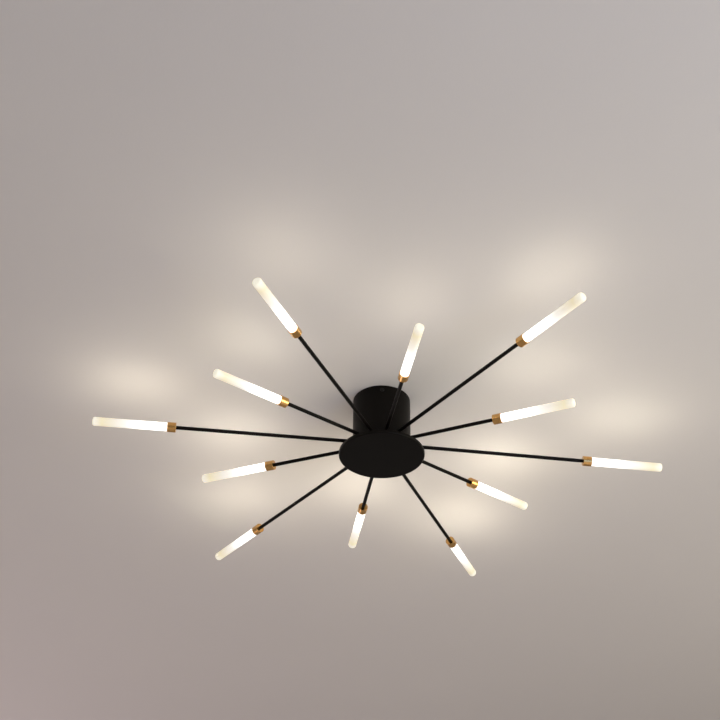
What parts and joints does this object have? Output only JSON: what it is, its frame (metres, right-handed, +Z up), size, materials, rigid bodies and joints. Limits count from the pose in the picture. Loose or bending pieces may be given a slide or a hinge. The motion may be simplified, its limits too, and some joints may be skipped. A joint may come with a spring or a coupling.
{
  "type": "sputnik ceiling light",
  "caption": "Flush-mounted sputnik ceiling light: black canopy can and disc, thin radial arms of two lengths, brass cups and frosted pull-off light tubes over plug-in bulbs.",
  "frame": {"origin": "centre of the light on the ceiling plane, midway between the two ceiling screw slots", "axes": "+Z up into the ceiling, the light hangs to -Z; +X to the right and +Y away from the camera in the picture, with the two ceiling screw slots on the Y axis"},
  "size_m": [0.997, 0.9261, 0.1186],
  "materials": {
    "black_paint": "matte black powder coat",
    "polished_brass": "polished gold brass",
    "frosted_acrylic": "frosted white acrylic, lit from inside",
    "bulb_silicone": "moulded silicone capsule",
    "zinc_steel": "zinc plated",
    "black_screw": "blackened",
    "socket_ceramic": "unglazed white ceramic",
    "white_plastic": "moulded white plastic",
    "lead_sheath": "smooth insulated lead"
  },
  "bodies": {
    "fixture": {"canopy_shell": "black_paint", "disc_cover": "black_paint", "cover_nuts": "zinc_steel", "mounting_bracket": "zinc_steel", "side_screws": "black_screw", "arm_lock_nuts": "zinc_steel", "lamp_sockets": "socket_ceramic", "led_driver": "white_plastic", "lead_connector": "white_plastic", "arm_leads": "lead_sheath", "terminal_block": "white_plastic", "mains_lead": "lead_sheath", "arm_tube_01": "black_paint", "arm_tube_02": "black_paint", "arm_tube_03": "black_paint", "arm_tube_04": "black_paint", "arm_tube_05": "black_paint", "arm_tube_06": "black_paint", "arm_tube_07": "black_paint", "arm_tube_08": "black_paint", "arm_tube_09": "black_paint", "arm_tube_10": "black_paint", "arm_tube_11": "black_paint", "arm_tube_12": "black_paint", "lamp_cup_01": "polished_brass", "lamp_cup_02": "polished_brass", "lamp_cup_03": "polished_brass", "lamp_cup_04": "polished_brass", "lamp_cup_05": "polished_brass", "lamp_cup_06": "polished_brass", "lamp_cup_07": "polished_brass", "lamp_cup_08": "polished_brass", "lamp_cup_09": "polished_brass", "lamp_cup_10": "polished_brass", "lamp_cup_11": "polished_brass", "lamp_cup_12": "polished_brass"},
    "light_tube_01": {"light_tube_01": "frosted_acrylic"},
    "led_bulb_01": {"led_bulb_01": "bulb_silicone"},
    "light_tube_02": {"light_tube_02": "frosted_acrylic"},
    "led_bulb_02": {"led_bulb_02": "bulb_silicone"},
    "light_tube_03": {"light_tube_03": "frosted_acrylic"},
    "led_bulb_03": {"led_bulb_03": "bulb_silicone"},
    "light_tube_04": {"light_tube_04": "frosted_acrylic"},
    "led_bulb_04": {"led_bulb_04": "bulb_silicone"},
    "light_tube_05": {"light_tube_05": "frosted_acrylic"},
    "led_bulb_05": {"led_bulb_05": "bulb_silicone"},
    "light_tube_06": {"light_tube_06": "frosted_acrylic"},
    "led_bulb_06": {"led_bulb_06": "bulb_silicone"},
    "light_tube_07": {"light_tube_07": "frosted_acrylic"},
    "led_bulb_07": {"led_bulb_07": "bulb_silicone"},
    "light_tube_08": {"light_tube_08": "frosted_acrylic"},
    "led_bulb_08": {"led_bulb_08": "bulb_silicone"},
    "light_tube_09": {"light_tube_09": "frosted_acrylic"},
    "led_bulb_09": {"led_bulb_09": "bulb_silicone"},
    "light_tube_10": {"light_tube_10": "frosted_acrylic"},
    "led_bulb_10": {"led_bulb_10": "bulb_silicone"},
    "light_tube_11": {"light_tube_11": "frosted_acrylic"},
    "led_bulb_11": {"led_bulb_11": "bulb_silicone"},
    "light_tube_12": {"light_tube_12": "frosted_acrylic"},
    "led_bulb_12": {"led_bulb_12": "bulb_silicone"}
  },
  "joints": [
    {"name": "light_tube_01_pull", "type": "slide", "parent": "fixture", "child": "light_tube_01", "axis": [0.9951, 0.0958, -0.0262], "range_m": [0, 0.07]},
    {"name": "led_bulb_01_unplug", "type": "slide", "parent": "fixture", "child": "led_bulb_01", "axis": [0.9951, 0.0958, -0.0262], "range_m": [0, 0.007]},
    {"name": "light_tube_02_pull", "type": "slide", "parent": "fixture", "child": "light_tube_02", "axis": [0.7934, 0.6088, 0], "range_m": [0, 0.07]},
    {"name": "led_bulb_02_unplug", "type": "slide", "parent": "fixture", "child": "led_bulb_02", "axis": [0.7934, 0.6088, 0], "range_m": [0, 0.007]},
    {"name": "light_tube_03_pull", "type": "slide", "parent": "fixture", "child": "light_tube_03", "axis": [0.3906, 0.9202, -0.0262], "range_m": [0, 0.07]},
    {"name": "led_bulb_03_unplug", "type": "slide", "parent": "fixture", "child": "led_bulb_03", "axis": [0.3906, 0.9202, -0.0262], "range_m": [0, 0.007]},
    {"name": "light_tube_04_pull", "type": "slide", "parent": "fixture", "child": "light_tube_04", "axis": [-0.1477, 0.9881, -0.0436], "range_m": [0, 0.07]},
    {"name": "led_bulb_04_unplug", "type": "slide", "parent": "fixture", "child": "led_bulb_04", "axis": [-0.1477, 0.9881, -0.0436], "range_m": [0, 0.007]},
    {"name": "light_tube_05_pull", "type": "slide", "parent": "fixture", "child": "light_tube_05", "axis": [-0.6355, 0.7709, -0.0436], "range_m": [0, 0.07]},
    {"name": "led_bulb_05_unplug", "type": "slide", "parent": "fixture", "child": "led_bulb_05", "axis": [-0.6355, 0.7709, -0.0436], "range_m": [0, 0.007]},
    {"name": "light_tube_06_pull", "type": "slide", "parent": "fixture", "child": "light_tube_06", "axis": [-0.9336, 0.3584, 0], "range_m": [0, 0.07]},
    {"name": "led_bulb_06_unplug", "type": "slide", "parent": "fixture", "child": "led_bulb_06", "axis": [-0.9336, 0.3584, 0], "range_m": [0, 0.007]},
    {"name": "light_tube_07_pull", "type": "slide", "parent": "fixture", "child": "light_tube_07", "axis": [-0.9925, -0.1219, 0], "range_m": [0, 0.07]},
    {"name": "led_bulb_07_unplug", "type": "slide", "parent": "fixture", "child": "led_bulb_07", "axis": [-0.9925, -0.1219, 0], "range_m": [0, 0.007]},
    {"name": "light_tube_08_pull", "type": "slide", "parent": "fixture", "child": "light_tube_08", "axis": [-0.7879, -0.6156, -0.0175], "range_m": [0, 0.07]},
    {"name": "led_bulb_08_unplug", "type": "slide", "parent": "fixture", "child": "led_bulb_08", "axis": [-0.7879, -0.6156, -0.0175], "range_m": [0, 0.007]},
    {"name": "light_tube_09_pull", "type": "slide", "parent": "fixture", "child": "light_tube_09", "axis": [-0.3823, -0.923, -0.0436], "range_m": [0, 0.07]},
    {"name": "led_bulb_09_unplug", "type": "slide", "parent": "fixture", "child": "led_bulb_09", "axis": [-0.3823, -0.923, -0.0436], "range_m": [0, 0.007]},
    {"name": "light_tube_10_pull", "type": "slide", "parent": "fixture", "child": "light_tube_10", "axis": [0.1478, -0.9887, -0.0262], "range_m": [0, 0.07]},
    {"name": "led_bulb_10_unplug", "type": "slide", "parent": "fixture", "child": "led_bulb_10", "axis": [0.1478, -0.9887, -0.0262], "range_m": [0, 0.007]},
    {"name": "light_tube_11_pull", "type": "slide", "parent": "fixture", "child": "light_tube_11", "axis": [0.5878, -0.809, 0.0087], "range_m": [0, 0.07]},
    {"name": "led_bulb_11_unplug", "type": "slide", "parent": "fixture", "child": "led_bulb_11", "axis": [0.5878, -0.809, 0.0087], "range_m": [0, 0.007]},
    {"name": "light_tube_12_pull", "type": "slide", "parent": "fixture", "child": "light_tube_12", "axis": [0.9134, -0.4067, -0.0175], "range_m": [0, 0.07]},
    {"name": "led_bulb_12_unplug", "type": "slide", "parent": "fixture", "child": "led_bulb_12", "axis": [0.9134, -0.4067, -0.0175], "range_m": [0, 0.007]}
  ]
}
